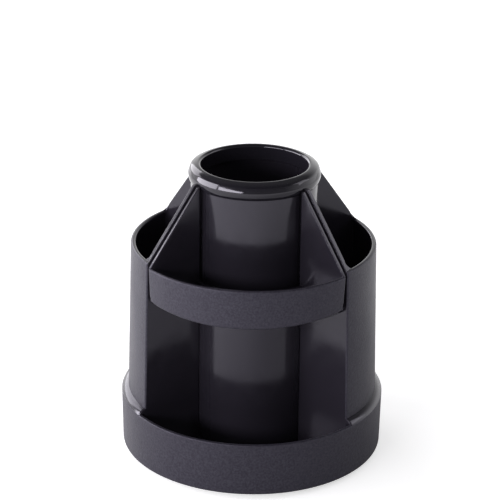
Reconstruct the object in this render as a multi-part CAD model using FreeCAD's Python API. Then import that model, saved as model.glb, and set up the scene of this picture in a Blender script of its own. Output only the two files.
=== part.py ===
import FreeCAD, Part
import math
import os

os.makedirs("parts", exist_ok=True)

# Millimetres. +Z is up, the desk is at height 0 and the turning axis is the Z axis.
# The front of the organizer, with its front drawer, looks along -Y.

# Swivel foot that stays still on the desk
foot_screw_gap = 2.25
foot_thickness = 2.8
foot_edge_chamfer = 0.6
post_radius = 6.0
pad_radius = 5.0
pad_thickness = 1.4
pad_recess = 0.6
pad_inset = 7.5
pad_count = 4

# Ball bearing between the foot and the dish
ball_radius = 2.0
ball_count = 8
race_gap = 2.4
cage_thickness = 1.2
cage_width = 6.8

# Base dish: a floor inside a low ring
ring_lip_radius = 59.4
ring_draft = 0.4
ring_foot_round = 1.5
ring_desk_gap = 2.4
ring_height = 24.4
ring_wall = 1.8
ring_edge_round = 0.5
dish_floor_thickness = 2.4

# Side bins: an outer wall between two fins
sector_half_angle = 52.5
shoulder_width = 3.1
shoulder_height = 2.5
shoulder_bulge = 0.5
wall_rise = 72.2
wall_draft = 1.7
wall_thickness = 2.4
rim_round = 0.9
skirt_gap = 0.4
bin_floor_thickness = 1.6
fin_thickness = 2.2
fin_foot_drop = 1.2
fin_flat_width = 1.31
fin_cap_rise = 2.3

# Centre cup and its collar
cup_top_radius = 28.0
cup_draft = 0.2
cup_wall = 2.0
cup_rise = 32.6
cup_floor_rise = 6.6
cup_floor_thickness = 2.0
collar_overhang = 1.2
collar_mouth_step = 2.5
collar_height = 7.3
collar_widest_rise = 3.4
collar_flank_bow = 0.18
collar_side_height = 1.4
collar_side_lean = 0.05
collar_shoulder_width = 1.32
collar_shoulder_height = 1.9
collar_shoulder_bow = 0.37
collar_crown = 3.5
collar_crown_bow = 0.15
collar_mouth_round = 1.3
collar_inner_skirt = 3.0
collar_foot_lip = 0.45

# Drawer shelves between the fins
shelf_thickness = 1.8
shelf_drop = 17.6
shelf_front_inset = 0.8
slot_front_web = 1.4
ledge_height = 1.5
ledge_width = 2.5
ledge_front_inset = 2.4

# Drawers
band_drop = 1.9
band_height = 17.4
band_thickness = 2.0
band_foot_slope = 0.127
band_end_rise = 2.1
band_side_gap = 1.0
band_foot_side_gap = 2.2
band_corner_radius = 4.0
drawer_side_gap = 1.1
drawer_wall = 1.6
drawer_floor_thickness = 1.6
drawer_wall_drop = 0.5
drawer_back_gap = 0.4
drawer_sill_height = 3.0
hook_spacing = 18.0
hook_stem_width = 1.8
hook_stem_length = 3.0
hook_foot_width = 3.6
hook_foot_height = 1.3
hook_slot_gap = 0.3
hook_back_gap = 0.6

# Screws and washer
screw_radius = 1.5
screw_head_radius = 2.75
screw_head_height = 1.8
screw_recess_width = 0.7
screw_recess_depth = 0.9
pivot_screw_radius = 1.75
pivot_head_radius = 3.4
pivot_head_height = 2.4
pivot_screw_web = 1.0
washer_radius = 9.0
washer_thickness = 1.0
boss_radius = 3.0
boss_web = 2.3
bin_screw_length = 9.5
bin_screw_inset = 4.9
bin_screw_turn = 30.0
cup_screw_tip_gap = 2.0
cup_screw_inset = 5.2
cup_screw_count = 3

# Clearances
run_gap = 0.05
lift_gap = 0.2
slide_gap = 0.3
seat_gap = 0.1
hole_gap = 0.2
cage_gap = 0.15

# One overrun for all cuts
overrun = 1.0

# Radii worked out from the sizes above
ring_foot_radius = ring_lip_radius - ring_draft
wall_foot_radius = ring_lip_radius - shoulder_width
wall_top_radius = wall_foot_radius - wall_draft
cup_foot_radius = cup_top_radius + cup_draft
collar_radius = cup_top_radius + collar_overhang
collar_mouth_radius = cup_top_radius - cup_wall - collar_mouth_step
fin_cap_radius = collar_radius + fin_flat_width
bin_screw_radius = wall_foot_radius - wall_thickness - bin_screw_inset
cup_screw_pitch_radius = cup_foot_radius - cup_wall - cup_screw_inset
race_radius = (bin_screw_radius + cup_screw_pitch_radius) / 2
foot_radius = bin_screw_radius - screw_head_radius - foot_screw_gap
pad_pitch_radius = foot_radius - pad_inset

# Heights worked out from the sizes above
foot_base = pad_thickness - pad_recess
foot_top = foot_base + foot_thickness
dish_under = foot_top + race_gap
dish_top = dish_under + dish_floor_thickness
ball_height = foot_top + race_gap / 2
post_top = dish_top + lift_gap
lip_top = ring_desk_gap + ring_height
shoulder_top = lip_top + shoulder_height
rim_top = lip_top + wall_rise
cup_top = rim_top + cup_rise
cup_floor_base = dish_top + cup_floor_rise
cup_floor_top = cup_floor_base + cup_floor_thickness
collar_groove_top = cup_top + seat_gap
band_top = rim_top - band_drop
band_base = band_top - band_height
shelf_top = rim_top - shelf_drop
shelf_base = shelf_top - shelf_thickness
ledge_base = shelf_base - ledge_height
drawer_base = shelf_top + slide_gap
drawer_floor_top = drawer_base + drawer_floor_thickness
collar_top = collar_groove_top + collar_crown
collar_base = collar_top - collar_height
fin_cap = collar_base + fin_cap_rise
drawer_inner_radius = collar_radius + drawer_back_gap
pivot_screw_bite = post_top - foot_base - pivot_screw_web
bin_hole_depth = bin_screw_length - dish_floor_thickness + hole_gap
bin_boss_height = bin_hole_depth + boss_web
cup_screw_length = dish_floor_thickness + cup_floor_rise - cup_screw_tip_gap

origin = FreeCAD.Vector(0, 0, 0)
up = FreeCAD.Vector(0, 0, 1)


def radius_between(height, low_height, low_radius, high_height, high_radius):
    """Radius of a straight tapered wall at one height."""
    share = (height - low_height) / (high_height - low_height)
    return low_radius + (high_radius - low_radius) * share


def wall_radius(height):
    """Outside radius of the side walls and of the drawers' bands."""
    return radius_between(height, shoulder_top, wall_foot_radius, rim_top - rim_round, wall_top_radius)


def cup_radius(height):
    """Outside radius of the centre cup."""
    return radius_between(height, dish_top, cup_foot_radius, cup_top, cup_top_radius)


def fin_line(radius):
    """Height of the fins' sloping top edge at one radius, from just below the rim up to the cap."""
    share = (wall_top_radius - radius) / (wall_top_radius - fin_cap_radius)
    foot_height = rim_top - fin_foot_drop
    return foot_height + (fin_cap - foot_height) * share


def at(radius, height):
    """A point of a section drawn in the XZ plane."""
    return FreeCAD.Vector(radius, 0, height)


def line(start, end):
    return Part.LineSegment(start, end).toShape()


def bulge(start, end, centre):
    """An arc that leaves the axis-parallel corner at centre and bulges away from it."""
    root = math.sqrt(0.5)
    middle = centre + (start - centre) * root + (end - centre) * root
    return Part.Arc(start, middle, end).toShape()


def bow(start, end, rise):
    """An arc that stands off its chord by one rise, on the left of the way from start to end."""
    way = end - start
    side = FreeCAD.Vector(-way.z, 0, way.x).normalize()
    return Part.Arc(start, (start + end) * 0.5 + side * rise, end).toShape()


def section(points):
    """A flat closed face through the points."""
    return Part.Face(Part.makePolygon(points + points[:1]))


def spin(face, degrees=360.0):
    """Solid of revolution, centred on the front when it isn't a full turn."""
    solid = face.revolve(origin, up, degrees)
    solid.rotate(origin, up, -90.0 - degrees / 2)
    return solid


def turned(shape, degrees):
    copy = shape.copy()
    copy.rotate(origin, up, degrees)
    return copy


def tube(outer, inner, base, top):
    """A plain ring between two heights."""
    height = top - base
    ring = Part.makeCylinder(outer, height, at(0, base))
    return ring.cut(Part.makeCylinder(inner, height + 2 * overrun, at(0, base - overrun)))


def box(low, high):
    size = high - low
    return Part.makeBox(size.x, size.y, size.z, low)


def wedge(side_gap, reach, base, top):
    """The front sector between the fins, held back from both fins by one gap."""
    half = math.radians(sector_half_angle)
    apex = FreeCAD.Vector(0, -side_gap / math.sin(half), base)
    far = (reach + overrun) / math.cos(half)
    right = apex + FreeCAD.Vector(far * math.sin(half), -far * math.cos(half), 0)
    left = FreeCAD.Vector(-right.x, right.y, base)
    return section([apex, right, left]).extrude(FreeCAD.Vector(0, 0, top - base))


def roof(drop):
    """Everything under the fins' sloping top edge, lowered by one drop."""
    outer = wall_foot_radius + overrun
    points = [
        at(0, dish_top),
        at(outer, dish_top),
        at(outer, fin_line(outer) - drop),
        at(fin_cap_radius, fin_cap - drop),
        at(0, fin_cap - drop),
    ]
    return spin(section(points))


def screw(shank_radius, head_radius, head_height, length):
    """A pan-head screw that points up, with the underside of its head at height 0."""
    head = Part.makeCylinder(head_radius, head_height, at(0, -head_height))
    head = head.makeFillet(head_height / 2, [head.Edges[2]])
    shank = Part.makeCylinder(shank_radius, length)
    tip = shank.makeChamfer(shank_radius / 2, [shank.Edges[0]])
    body = head.fuse(tip)
    arm = head_radius / 2
    width = screw_recess_width / 2
    low = -head_height - overrun
    high = screw_recess_depth - head_height
    one = box(FreeCAD.Vector(-arm, -width, low), FreeCAD.Vector(arm, width, high))
    return body.cut(one.fuse(turned(one, 90.0))).removeSplitter()


def around(shape, count, start=0.0):
    """Copies of a shape at even steps round the axis."""
    return [turned(shape, start + 360.0 * index / count) for index in range(count)]


def bin_screw_angles():
    """Directions of the four bin screws, two in each bin."""
    return [side + turn for side in (0.0, 180.0) for turn in (-bin_screw_turn, bin_screw_turn)]


def export(name, shapes):
    """Writes one node as one solid or a group of separate solids."""
    solids = [solid for shape in shapes for solid in shape.Solids]
    shape = solids[0] if len(solids) == 1 else Part.makeCompound(solids)
    shape.exportStep("parts/" + name + ".step")
    return shape


def race_groove():
    """The space that the balls sweep, with running clearance."""
    return Part.makeTorus(race_radius, ball_radius + run_gap, at(0, ball_height))


def foot():
    """Round foot with the pivot post, the lower ball race and seats for the pads."""
    disc = Part.makeCylinder(foot_radius, foot_thickness, at(0, foot_base))
    disc = disc.makeChamfer(foot_edge_chamfer, [disc.Edges[0]])
    post = Part.makeCylinder(post_radius, post_top - foot_base, at(0, foot_base))
    solid = disc.fuse(post).cut(race_groove())
    depth = pad_recess + overrun
    seat = Part.makeCylinder(pad_radius + seat_gap, depth, at(pad_pitch_radius, foot_base - overrun))
    for cutter in around(seat, pad_count, 45.0):
        solid = solid.cut(cutter)
    hole_base = post_top - pivot_screw_bite - hole_gap
    hole = Part.makeCylinder(pivot_screw_radius + run_gap, post_top - hole_base + overrun, at(0, hole_base))
    return solid.cut(hole).removeSplitter()


def pads():
    """Rubber pads, each pressed part of the way into its seat."""
    pad = Part.makeCylinder(pad_radius, pad_thickness, at(pad_pitch_radius, 0))
    return around(pad, pad_count, 45.0)


def pivot_washer():
    base = post_top
    return tube(washer_radius, pivot_screw_radius + hole_gap, base, base + washer_thickness)


def pivot_screw():
    """Turned over, so that its head sits on the washer."""
    solid = screw(pivot_screw_radius, pivot_head_radius, pivot_head_height,
                  pivot_screw_bite + washer_thickness)
    solid.rotate(origin, FreeCAD.Vector(1, 0, 0), 180.0)
    solid.translate(at(0, post_top + washer_thickness))
    return solid


def ball_cage():
    """Flat ring that spaces the balls."""
    half_width = cage_width / 2
    half_height = cage_thickness / 2
    ring = tube(race_radius + half_width, race_radius - half_width,
                ball_height - half_height, ball_height + half_height)
    pocket = Part.makeCylinder(ball_radius + cage_gap, cage_thickness + 2 * overrun,
                               at(race_radius, ball_height - half_height - overrun))
    for cutter in around(pocket, ball_count):
        ring = ring.cut(cutter)
    return ring


def balls():
    return around(Part.makeSphere(ball_radius, at(race_radius, ball_height)), ball_count)


def base_dish():
    """Ring with a rounded lip and, inside it, the floor with the upper ball race."""
    inner_top = ring_lip_radius - ring_wall
    inner_foot = ring_foot_radius - ring_wall
    turn = ring_edge_round
    outer_corner = at(ring_lip_radius - turn, lip_top - turn)
    inner_corner = at(inner_top + turn, lip_top - turn)
    lip_out = at(ring_lip_radius, lip_top - turn)
    lip_out_top = at(ring_lip_radius - turn, lip_top)
    lip_in_top = at(inner_top + turn, lip_top)
    lip_in = at(inner_top, lip_top - turn)
    hub = post_radius + run_gap
    foot_low = at(ring_foot_radius - ring_foot_round, ring_desk_gap)
    foot_high = at(ring_foot_radius, ring_desk_gap + ring_foot_round)
    outline = [
        lip_in,
        at(inner_foot, dish_top),
        at(hub, dish_top),
        at(hub, dish_under),
        at(inner_foot, dish_under),
        at(inner_foot, ring_desk_gap),
        foot_low,
    ]
    edges = [line(start, end) for start, end in zip(outline[:-1], outline[1:])]
    edges.append(bulge(foot_low, foot_high, at(foot_low.x, foot_high.z)))
    edges.append(line(foot_high, lip_out))
    edges.append(bulge(lip_out, lip_out_top, outer_corner))
    edges.append(line(lip_out_top, lip_in_top))
    edges.append(bulge(lip_in_top, lip_in, inner_corner))
    solid = spin(Part.Face(Part.Wire(edges))).cut(race_groove())
    hole = Part.makeCylinder(screw_radius + hole_gap, dish_floor_thickness + 2 * overrun,
                             at(0, dish_under - overrun))
    for place in bin_screw_places() + cup_screw_places():
        cutter = hole.copy()
        cutter.translate(place)
        solid = solid.cut(cutter)
    return solid


def bin_screw_places():
    """Four places near the bins' outer corners, on the dish's floor."""
    places = []
    for degrees in bin_screw_angles():
        angle = math.radians(degrees)
        places.append(FreeCAD.Vector(math.cos(angle), math.sin(angle), 0) * bin_screw_radius)
    return places


def cup_screw_places():
    """Places of the cup's screws, evenly round the axis."""
    places = []
    for index in range(cup_screw_count):
        angle = math.radians(90.0 + 360.0 * index / cup_screw_count)
        places.append(FreeCAD.Vector(math.cos(angle), math.sin(angle), 0) * cup_screw_pitch_radius)
    return places


def screws_at(places, length):
    """Screws driven up through the dish's floor."""
    one = screw(screw_radius, screw_head_radius, screw_head_height, length)
    group = []
    for place in places:
        copy = one.copy()
        copy.translate(place + at(0, dish_under))
        group.append(copy)
    return group


def cup_body():
    """The cup's wall and floor, open below the floor."""
    inner_foot = cup_foot_radius - cup_wall
    inner_top = cup_top_radius - cup_wall
    inner_floor = cup_radius(cup_floor_top) - cup_wall
    return spin(section([
        at(0, cup_floor_base),
        at(inner_foot, cup_floor_base),
        at(inner_foot, dish_top),
        at(cup_foot_radius, dish_top),
        at(cup_top_radius, cup_top),
        at(inner_top, cup_top),
        at(inner_floor, cup_floor_top),
        at(0, cup_floor_top),
    ]))


def cup_space():
    """The room that the fins leave for the cup and its collar."""
    return spin(section([
        at(0, dish_top - overrun),
        at(cup_foot_radius + seat_gap, dish_top - overrun),
        at(cup_radius(collar_base) + seat_gap, collar_base - seat_gap),
        at(collar_radius + seat_gap, collar_base - seat_gap),
        at(collar_radius + seat_gap, collar_top + overrun),
        at(0, collar_top + overrun),
    ]))


def centre_cup():
    """Tall cup with screw bosses under its floor and a ledge for each shelf."""
    solid = cup_body()
    boss = Part.makeCylinder(boss_radius, cup_floor_rise, at(0, dish_top))
    hole = Part.makeCylinder(screw_radius + run_gap, cup_floor_rise + overrun, at(0, dish_top - overrun))
    for place in cup_screw_places():
        post = boss.copy()
        post.translate(place)
        solid = solid.fuse(post)
    for place in cup_screw_places():
        cutter = hole.copy()
        cutter.translate(place)
        solid = solid.cut(cutter)
    reach = cup_foot_radius + ledge_width
    ring = tube(reach, cup_radius(ledge_base) - cup_wall / 2, ledge_base, shelf_base)
    ledge = ring.common(wedge(ledge_width + seat_gap, reach, ledge_base, shelf_base))
    return solid.fuse(ledge).fuse(turned(ledge, 180.0)).removeSplitter()


def cup_collar():
    """Rounded ring that grips the rim of the cup from both sides."""
    grip_out = cup_top_radius + seat_gap / 2
    grip_in = cup_top_radius - cup_wall - seat_gap / 2
    foot_out = at(grip_out + collar_foot_lip, collar_base)
    side_low = at(collar_radius, collar_base + collar_widest_rise)
    side_high = at(collar_radius - collar_side_lean, side_low.z + collar_side_height)
    shoulder = at(side_high.x - collar_shoulder_width, side_high.z + collar_shoulder_height)
    top = at(collar_mouth_radius + collar_mouth_round, collar_top)
    mouth = at(collar_mouth_radius, collar_top - collar_mouth_round)
    skirt_base = collar_groove_top - collar_inner_skirt
    edges = [
        line(at(grip_out, collar_base), foot_out),
        bow(foot_out, side_low, -collar_flank_bow),
        line(side_low, side_high),
        bow(side_high, shoulder, -collar_shoulder_bow),
        bow(shoulder, top, -collar_crown_bow),
        bulge(top, mouth, at(top.x, mouth.z)),
        line(mouth, at(collar_mouth_radius, skirt_base)),
        line(at(collar_mouth_radius, skirt_base), at(grip_in, skirt_base)),
        line(at(grip_in, skirt_base), at(grip_in, collar_groove_top)),
        line(at(grip_in, collar_groove_top), at(grip_out, collar_groove_top)),
        line(at(grip_out, collar_groove_top), at(grip_out, collar_base)),
    ]
    return spin(Part.Face(Part.Wire(edges)))


def bin_wall():
    """Outer wall of one bin, with a skirt in the dish, a shoulder over its lip and a rounded rim."""
    skirt_out = ring_foot_radius - ring_wall - skirt_gap
    inner_foot = wall_foot_radius - wall_thickness
    inner_top = wall_top_radius - wall_thickness
    lip_edge = at(ring_lip_radius, lip_top)
    shoulder = at(wall_foot_radius, shoulder_top)
    round_base = rim_top - rim_round
    outer_low = at(wall_top_radius, round_base)
    outer_high = at(wall_top_radius - rim_round, rim_top)
    inner_high = at(inner_top + rim_round, rim_top)
    inner_low = at(inner_top, round_base)
    outline = [
        inner_low,
        at(inner_foot, shoulder_top),
        at(inner_foot, dish_top),
        at(skirt_out, dish_top),
        at(skirt_out, lip_top),
        lip_edge,
    ]
    edges = [line(start, end) for start, end in zip(outline[:-1], outline[1:])]
    edges.append(bow(lip_edge, shoulder, -shoulder_bulge))
    edges.append(line(shoulder, outer_low))
    edges.append(bulge(outer_low, outer_high, at(outer_high.x, outer_low.z)))
    edges.append(line(outer_high, inner_high))
    edges.append(bulge(inner_high, inner_low, at(inner_high.x, inner_low.z)))
    return spin(Part.Face(Part.Wire(edges)), 180.0 - 2 * sector_half_angle)


def bin_envelope():
    """Everything inside the outer surface of the bins."""
    skirt_out = ring_foot_radius - ring_wall - skirt_gap
    top = fin_line(0)
    return spin(section([
        at(0, dish_top),
        at(skirt_out, dish_top),
        at(skirt_out, lip_top),
        at(wall_foot_radius, shoulder_top),
        at(wall_top_radius, rim_top - rim_round),
        at(wall_top_radius, top),
        at(0, top),
    ]))


def fin(side):
    """One flat fin, drawn along +X: its sector face is at Y = 0 and side is the way to the bin."""
    reach = wall_foot_radius + overrun
    low = FreeCAD.Vector(0, min(0, side * fin_thickness), dish_top)
    high = FreeCAD.Vector(reach, max(0, side * fin_thickness), fin_line(0))
    plate = box(low, high).common(roof(0)).common(bin_envelope())
    inner = cup_foot_radius + ledge_width
    outer = wall_top_radius - wall_thickness - ledge_front_inset
    low = FreeCAD.Vector(inner, min(0, -side * ledge_width), ledge_base)
    high = FreeCAD.Vector(outer, max(0, -side * ledge_width), shelf_base)
    return plate.fuse(box(low, high))


def side_bin():
    """The bin on the right, towards +X, as one moulding."""
    half = 90.0 - sector_half_angle
    solid = turned(bin_wall(), 90.0)
    solid = solid.fuse(turned(fin(1), -half)).fuse(turned(fin(-1), half))
    inner_foot = wall_foot_radius - wall_thickness
    floor = Part.makeCylinder(inner_foot + wall_thickness / 2, bin_floor_thickness, at(0, dish_top),
                              up, 2 * half)
    solid = solid.fuse(turned(floor, -half))
    boss = Part.makeCylinder(boss_radius, bin_boss_height, at(0, dish_top))
    hole = Part.makeCylinder(screw_radius + run_gap, bin_hole_depth + overrun, at(0, dish_top - overrun))
    for place in bin_screw_places()[:2]:
        post = boss.copy()
        post.translate(place)
        solid = solid.fuse(post)
    for place in bin_screw_places()[:2]:
        cutter = hole.copy()
        cutter.translate(place)
        solid = solid.cut(cutter)
    return solid.cut(cup_space()).removeSplitter()


def hook_back():
    """Place of the hooks' back faces, clear of the cup's ledge."""
    inner_edge = hook_spacing / 2 - hook_foot_width / 2
    ledge_reach = cup_foot_radius + ledge_width
    return -math.sqrt(ledge_reach ** 2 - inner_edge ** 2) - hook_back_gap


def shelf_reach():
    """Radius of the shelves' front edge, behind the drawers' bands."""
    return wall_radius(band_base) - band_thickness - shelf_front_inset


def front_shelf():
    """Shelf with two closed slots, which guide and stop the drawer's hooks."""
    reach = shelf_reach()
    plate = wedge(seat_gap, reach, shelf_base, shelf_top)
    plate = plate.common(Part.makeCylinder(reach, rim_top))
    plate = plate.cut(Part.makeCylinder(cup_radius(shelf_base) + seat_gap, rim_top))
    half = hook_stem_width / 2 + hook_slot_gap
    back = hook_back() + hook_slot_gap
    outer_edge = hook_spacing / 2 + half
    front = slot_front_web - math.sqrt(reach ** 2 - outer_edge ** 2)
    for side in (-1, 1):
        middle = side * hook_spacing / 2
        low = FreeCAD.Vector(middle - half, front, shelf_base - overrun)
        high = FreeCAD.Vector(middle + half, back, shelf_top + overrun)
        plate = plate.cut(box(low, high))
    return plate


def band_outline(side):
    """Prism that gives one end of a band its draft and its rounded lower corner."""
    low = band_base + band_end_rise
    turn = band_corner_radius
    reach = 2 * wall_foot_radius
    top_end = at(-band_side_gap, band_top)
    over = (band_foot_side_gap - band_side_gap) / band_height * overrun
    start = at(-band_side_gap + over, band_top + overrun)
    corner_high = at(-band_foot_side_gap, low + turn)
    corner_low = at(-band_foot_side_gap - turn, low)
    edges = [
        line(start, top_end),
        line(top_end, corner_high),
        bulge(corner_high, corner_low, at(-band_foot_side_gap - turn, low + turn)),
        line(corner_low, at(-reach, band_base - band_height / 2)),
        line(at(-reach, band_base - band_height / 2), at(-reach, band_top + overrun)),
        line(at(-reach, band_top + overrun), start),
    ]
    face = Part.Face(Part.Wire(edges))
    prism = face.extrude(FreeCAD.Vector(0, -2 * reach, 0))
    prism.translate(FreeCAD.Vector(0, reach, 0))
    prism.rotate(origin, up, sector_half_angle)
    return prism if side > 0 else prism.mirror(origin, FreeCAD.Vector(1, 0, 0))


def band_foot_plane():
    """Everything above the band's lower edge, which rises from the middle towards both ends."""
    front = -wall_radius(band_base)
    reach = 2 * wall_foot_radius
    points = [
        FreeCAD.Vector(-reach, front, band_base),
        FreeCAD.Vector(-reach, 0, band_base - band_foot_slope * front),
        FreeCAD.Vector(-reach, 0, band_top + reach),
        FreeCAD.Vector(-reach, front - overrun, band_top + reach),
        FreeCAD.Vector(-reach, front - overrun, band_base - band_foot_slope * overrun),
    ]
    return section(points).extrude(FreeCAD.Vector(2 * reach, 0, 0))


def drawer_band():
    """Curved drawer front, in line with the side walls."""
    low = wall_radius(band_base)
    high = wall_radius(band_top)
    face = section([
        at(low, band_base),
        at(high, band_top),
        at(high - band_thickness, band_top),
        at(low - band_thickness, band_base),
    ])
    solid = spin(face, 2 * sector_half_angle).common(band_foot_plane())
    return solid.common(band_outline(1)).common(band_outline(-1))


def drawer_hook(side):
    """Runner under the drawer: a stem through the shelf's slot and a wider foot below it."""
    middle = side * hook_spacing / 2
    back = hook_back()
    front = back - hook_stem_length
    foot_high = shelf_base - slide_gap
    foot_low = foot_high - hook_foot_height
    stem = box(FreeCAD.Vector(middle - hook_stem_width / 2, front, foot_low),
               FreeCAD.Vector(middle + hook_stem_width / 2, back, drawer_base + drawer_floor_thickness / 2))
    foot_part = box(FreeCAD.Vector(middle - hook_foot_width / 2, front, foot_low),
                    FreeCAD.Vector(middle + hook_foot_width / 2, back, foot_high))
    return stem.fuse(foot_part)


def front_drawer():
    """Tray with high side walls, a low sill by the cup and the curved band in front."""
    reach = wall_radius(band_base) - band_thickness / 2
    core = Part.makeCylinder(drawer_inner_radius, collar_top)
    disc = Part.makeCylinder(reach, collar_top)
    top = fin_cap
    inner_gap = drawer_side_gap + drawer_wall
    floor = wedge(drawer_side_gap, reach, drawer_base, drawer_floor_top).common(disc).cut(core)
    walls = wedge(drawer_side_gap, reach, drawer_base, top)
    walls = walls.cut(wedge(inner_gap, reach, drawer_base, top))
    walls = walls.common(Part.makeCylinder(wall_top_radius - band_thickness / 2, collar_top))
    walls = walls.common(roof(drawer_wall_drop)).cut(core)
    sill = tube(drawer_inner_radius + drawer_wall, drawer_inner_radius, drawer_base,
                drawer_floor_top + drawer_sill_height)
    sill = sill.common(wedge(drawer_side_gap, reach, drawer_base, rim_top))
    solid = drawer_band().fuse(floor).fuse(walls).fuse(sill)
    return solid.fuse(drawer_hook(-1)).fuse(drawer_hook(1)).removeSplitter()


export("swivel_foot", [foot()])
export("foot_pads", pads())
export("pivot_screw", [pivot_screw()])
export("pivot_washer", [pivot_washer()])
export("ball_cage", [ball_cage()])
export("bearing_balls", balls())
export("base_dish", [base_dish()])
right_bin = side_bin()
export("right_bin", [right_bin])
export("left_bin", [turned(right_bin, 180.0)])
export("bin_screws", screws_at(bin_screw_places(), bin_screw_length))
export("centre_cup", [centre_cup()])
export("cup_screws", screws_at(cup_screw_places(), cup_screw_length))
export("cup_collar", [cup_collar()])
shelf = front_shelf()
export("front_shelf", [shelf])
export("back_shelf", [turned(shelf, 180.0)])
drawer = front_drawer()
export("front_drawer", [drawer])
export("back_drawer", [turned(drawer, 180.0)])
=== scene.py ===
import bmesh
import bpy
import math
from mathutils import Matrix, Vector


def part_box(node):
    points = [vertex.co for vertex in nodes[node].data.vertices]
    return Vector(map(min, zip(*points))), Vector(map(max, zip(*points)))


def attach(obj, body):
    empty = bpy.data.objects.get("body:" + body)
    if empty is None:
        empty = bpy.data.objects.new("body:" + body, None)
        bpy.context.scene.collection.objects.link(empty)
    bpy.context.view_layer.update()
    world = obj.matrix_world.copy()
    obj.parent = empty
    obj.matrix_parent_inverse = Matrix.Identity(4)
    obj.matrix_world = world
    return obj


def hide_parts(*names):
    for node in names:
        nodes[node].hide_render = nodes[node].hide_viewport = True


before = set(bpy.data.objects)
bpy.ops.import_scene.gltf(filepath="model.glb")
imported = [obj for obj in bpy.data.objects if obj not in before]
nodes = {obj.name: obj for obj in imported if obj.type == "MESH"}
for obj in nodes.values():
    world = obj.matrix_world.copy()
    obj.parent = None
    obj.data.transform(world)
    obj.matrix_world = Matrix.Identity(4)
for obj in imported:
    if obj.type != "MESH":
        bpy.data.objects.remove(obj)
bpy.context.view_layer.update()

# Swivel foot
# The round foot lies still on the desk and carries the pivot post. It is one plain black moulding, with
# the lower ball race in its top and four shallow seats for the pads in its underside.

mm = 0.001
foot_low, foot_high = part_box("swivel_foot")
ball_low, ball_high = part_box("bearing_balls")
pad_low, pad_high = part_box("foot_pads")
foot_radius = foot_high.x
foot_thickness = 2.8 * mm
foot_top = foot_low.z + foot_thickness
foot_chamfer = 0.6 * mm
fine_edge = 0.25 * mm
post_radius = 6.0 * mm
ball_radius = (ball_high.z - ball_low.z) / 2
race_radius = ball_high.x - ball_radius
race_height = (ball_high.z + ball_low.z) / 2
running_gap = 0.05 * mm
race_groove = ball_radius + running_gap
race_edge_angle = 36
pad_count = 4
pad_first_angle = 45
pad_radius = 5.0 * mm
pad_pitch = (pad_high.x - pad_radius) * math.sqrt(2)
seat_gap = 0.1 * mm
pivot_screw_radius = 1.75 * mm
pivot_hole_depth = 7.0 * mm
overrun = 1.0 * mm
same_place = 0.001 * mm
small_round_steps = 48


def softened(corners, steps=5, edge_share=0.49):
    """Closed outline through corners given as (radius, height, rounding)."""
    outline = []
    for index, (x, z, rounding) in enumerate(corners):
        if rounding <= 0:
            outline.append((x, z))
            continue
        here = Vector((x, z))
        before = Vector(corners[index - 1][:2]) - here
        after = Vector(corners[(index + 1) % len(corners)][:2]) - here
        half = before.angle(after) / 2
        reach = min(rounding / math.tan(half), before.length * edge_share, after.length * edge_share)
        bisector = (before.normalized() + after.normalized()).normalized()
        centre = here + bisector * (reach / math.cos(half))
        first = here + before.normalized() * reach - centre
        last = here + after.normalized() * reach - centre
        sweep = math.atan2(first.x * last.y - first.y * last.x, first.dot(last))
        for step in range(steps + 1):
            spoke = Matrix.Rotation(sweep * step / steps, 2) @ first
            outline.append(tuple(centre + spoke))
    return outline


def arc_corners(radius, height, wide, high, start, end, steps=8):
    """Unrounded corners along a stretch of an ellipse, between two angles in degrees."""
    corners = []
    for step in range(steps + 1):
        angle = math.radians(start + (end - start) * step / steps)
        corners.append((radius + wide * math.cos(angle), height + high * math.sin(angle), 0))
    return corners


def finished_mesh(name, work):
    """Closes working geometry into an object whose faces look outwards."""
    bmesh.ops.remove_doubles(work, verts=work.verts, dist=same_place)
    bmesh.ops.recalc_face_normals(work, faces=work.faces)
    mesh = bpy.data.meshes.new(name)
    work.to_mesh(mesh)
    work.free()
    piece = bpy.data.objects.new(name, mesh)
    bpy.context.scene.collection.objects.link(piece)
    return piece


def turned_piece(name, outline, steps=192):
    """A ring or disc turned about the Z axis from a closed section of (radius, height) points."""
    work = bmesh.new()
    rings = []
    for radius, height in outline:
        if radius < same_place:
            rings.append([work.verts.new((0, 0, height))])
            continue
        angles = [math.tau * step / steps for step in range(steps)]
        rings.append([work.verts.new((radius * math.cos(a), radius * math.sin(a), height)) for a in angles])
    for low, high in zip(rings, rings[1:] + rings[:1]):
        if len(low) + len(high) == 2:
            continue
        for step in range(steps):
            after = (step + 1) % steps
            corners = [low[step % len(low)], low[after % len(low)],
                       high[after % len(high)], high[step % len(high)]]
            work.faces.new(list(dict.fromkeys(corners)))
    return finished_mesh(name, work)


def drill(radius, low, high, place):
    """A plain round bar, to cut with or to add, that stands upright at a place."""
    outline = [(0, low), (radius, low), (radius, high), (0, high)]
    cutter = turned_piece("drill", outline, small_round_steps)
    cutter.data.transform(Matrix.Translation((place.x, place.y, 0)))
    return cutter


def combined(piece, others, operation):
    """Adds other closed pieces, or takes them away, and leaves one closed mesh."""
    for other in others:
        change = piece.modifiers.new("change", "BOOLEAN")
        change.operation = operation
        change.solver = "MANIFOLD"
        change.object = other
        graph = bpy.context.evaluated_depsgraph_get()
        result = bpy.data.meshes.new_from_object(piece.evaluated_get(graph))
        piece.modifiers.clear()
        piece.data = result
        bpy.data.objects.remove(other)
    piece.data.name = piece.name
    return piece


def on_circle(radius, degrees):
    """A place at one distance and bearing from the axis."""
    return Vector((radius * math.cos(math.radians(degrees)), radius * math.sin(math.radians(degrees)), 0))


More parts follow.
